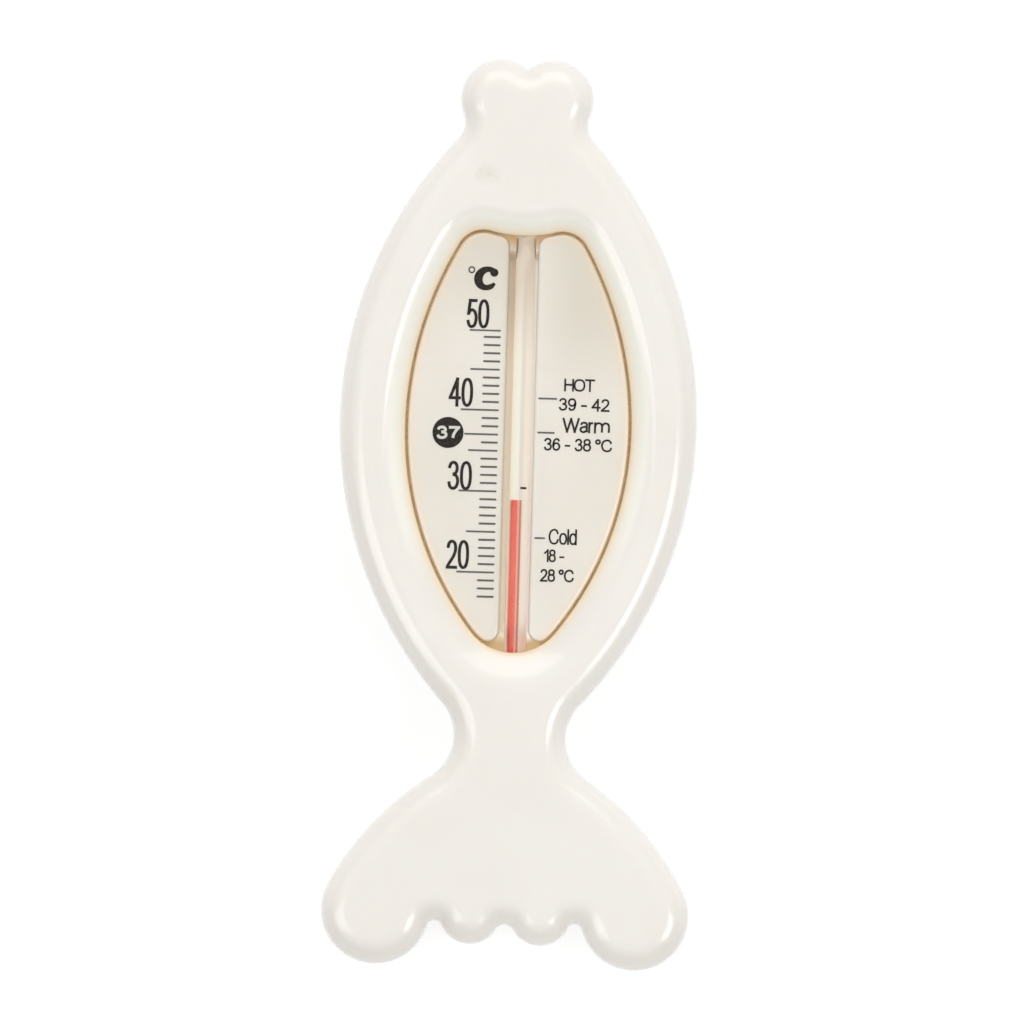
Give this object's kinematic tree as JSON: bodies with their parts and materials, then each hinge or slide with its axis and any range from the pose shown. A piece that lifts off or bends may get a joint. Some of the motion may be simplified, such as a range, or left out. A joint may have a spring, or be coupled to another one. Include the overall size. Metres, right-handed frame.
{
  "type": "baby bath thermometer",
  "caption": "Fish-shaped floating bath thermometer with a bevelled window, a printed scale plate and a red spirit tube.",
  "frame": {"origin": "centre of the bounding box in X and Y, on the flat back face", "axes": "+Z out of the front face with the window, +Y along the fish towards the head, +X to the right seen from the front"},
  "size_m": [0.0608, 0.15, 0.017],
  "materials": {
    "body_white": "glossy moulded warm white",
    "plate_cream": "satin cream",
    "cement_amber": "glossy amber cement",
    "glass": "clear drawn glass",
    "spirit_red": "red dyed spirit",
    "print_black": "printed ink"
  },
  "bodies": {
    "root": {"front_shell": "body_white", "back_shell": "body_white", "scale_plate": "plate_cream", "window_seal": "cement_amber", "tube_bed": "cement_amber", "thermometer_tube": "glass", "spirit_column": "spirit_red", "degree_line_17": "print_black", "degree_line_18": "print_black", "degree_line_19": "print_black", "degree_line_20": "print_black", "degree_line_21": "print_black", "degree_line_22": "print_black", "degree_line_23": "print_black", "degree_line_24": "print_black", "degree_line_25": "print_black", "degree_line_26": "print_black", "degree_line_27": "print_black", "degree_line_28": "print_black", "degree_line_29": "print_black", "degree_line_30": "print_black", "degree_line_31": "print_black", "degree_line_32": "print_black", "degree_line_33": "print_black", "degree_line_34": "print_black", "degree_line_35": "print_black", "degree_line_36": "print_black", "degree_line_37": "print_black", "degree_line_38": "print_black", "degree_line_39": "print_black", "degree_line_40": "print_black", "degree_line_41": "print_black", "degree_line_42": "print_black", "degree_line_43": "print_black", "degree_line_44": "print_black", "degree_line_45": "print_black", "degree_line_46": "print_black", "degree_line_47": "print_black", "degree_line_48": "print_black", "degree_line_49": "print_black", "degree_line_50": "print_black", "hot_zone_line": "print_black", "warm_zone_line": "print_black", "cold_zone_line": "print_black", "numeral_50_tens": "print_black", "numeral_50_units": "print_black", "numeral_40_tens": "print_black", "numeral_40_units": "print_black", "numeral_30_tens": "print_black", "numeral_30_units": "print_black", "numeral_20_tens": "print_black", "numeral_20_units": "print_black", "unit_ring": "print_black", "unit_c": "print_black", "disc_37": "print_black", "tube_mark": "print_black"}
  },
  "joints": []
}
